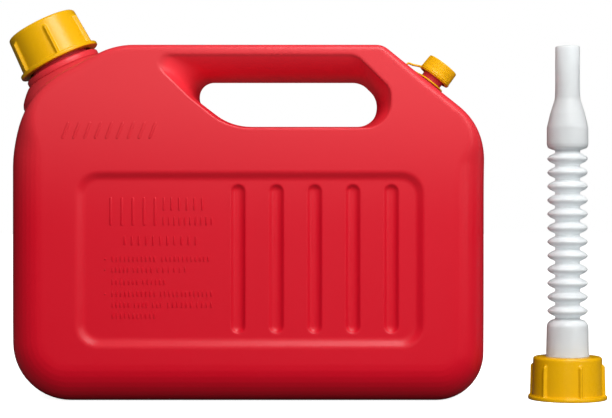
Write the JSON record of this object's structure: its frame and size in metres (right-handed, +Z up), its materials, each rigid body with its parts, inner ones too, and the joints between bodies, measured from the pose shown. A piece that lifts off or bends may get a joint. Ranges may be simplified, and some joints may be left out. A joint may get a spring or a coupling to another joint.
{
  "type": "jerry can",
  "caption": "Moulded plastic fuel can with a carrying grip, a tilted ribbed screw cap, a tethered vent cap and a flexible pouring spout standing beside it.",
  "frame": {"origin": "centre of the can's base, on the surface it stands on", "axes": "+Z up, +X from the filler towards the vent and the spout, front face towards -Y"},
  "size_m": [0.4758, 0.132, 0.3096],
  "materials": {
    "can_plastic": "satin blow-moulded polyethylene",
    "cap_plastic": "satin moulded polypropylene",
    "spout_plastic": "natural translucent polyethylene",
    "seal": "matte"
  },
  "bodies": {
    "can": {"can_body": "can_plastic", "filler_neck": "can_plastic", "vent_neck": "can_plastic", "tether_ring": "cap_plastic", "tether_strap": "cap_plastic"},
    "cap_riser": {"main_cap_liner": "seal"},
    "cap": {"main_cap": "cap_plastic"},
    "vent_riser": {"vent_cap_liner": "seal", "tether_collar": "cap_plastic"},
    "vent": {"vent_cap": "cap_plastic"},
    "spout_foot": {"spout_base": "spout_plastic", "spout_bellows_lower": "spout_plastic", "spout_gasket": "seal"},
    "spout_middle": {"spout_bellows_middle": "spout_plastic", "spout_bellows_upper": "spout_plastic"},
    "spout_tip": {"spout_nozzle": "spout_plastic"},
    "spout_nut": {"spout_collar": "cap_plastic"}
  },
  "joints": [
    {"name": "cap_rise", "type": "slide", "parent": "can", "child": "cap_riser", "axis": [-0.454, 0, 0.891], "range_m": [0, 0.0312]},
    {"name": "cap_turn", "type": "hinge", "parent": "cap_riser", "child": "cap", "pos_m": [-0.1535, 0, 0.2681], "axis": [-0.454, 0, 0.891], "range_deg": [0, 1860]},
    {"name": "vent_rise", "type": "slide", "parent": "can", "child": "vent_riser", "axis": [0.6088, 0, 0.7934], "range_m": [0, 0.0106], "deforming": ["tether_strap"]},
    {"name": "vent_turn", "type": "hinge", "parent": "vent_riser", "child": "vent", "pos_m": [0.148, 0, 0.2561], "axis": [0.6088, 0, 0.7934], "range_deg": [0, 1260]},
    {"name": "spout_lift", "type": "slide", "parent": "can", "child": "spout_foot", "axis": [0, 0, 1], "range_m": [0, 0.3]},
    {"name": "spout_bend_lower", "type": "hinge", "parent": "spout_foot", "child": "spout_middle", "pos_m": [0.2513, -0.03, 0.09132], "axis": [1, 0, 0], "range_deg": [-35, 35], "deforming": ["spout_bellows_lower"]},
    {"name": "spout_bend_upper", "type": "hinge", "parent": "spout_middle", "child": "spout_tip", "pos_m": [0.2513, -0.03, 0.1677], "axis": [1, 0, 0], "range_deg": [-35, 35], "deforming": ["spout_bellows_upper"]},
    {"name": "spout_nut_turn", "type": "hinge", "parent": "spout_foot", "child": "spout_nut", "pos_m": [0.2513, -0.03, 0], "axis": [0, 0, 1], "continuous": true}
  ],
  "couplings": [
    {"joint": "cap_rise", "follows": "cap_turn", "m_per_rad": 0.00095493},
    {"joint": "vent_rise", "follows": "vent_turn", "m_per_rad": 0.00047746},
    {"joint": "spout_bend_upper", "follows": "spout_bend_lower", "ratio": 1}
  ]
}
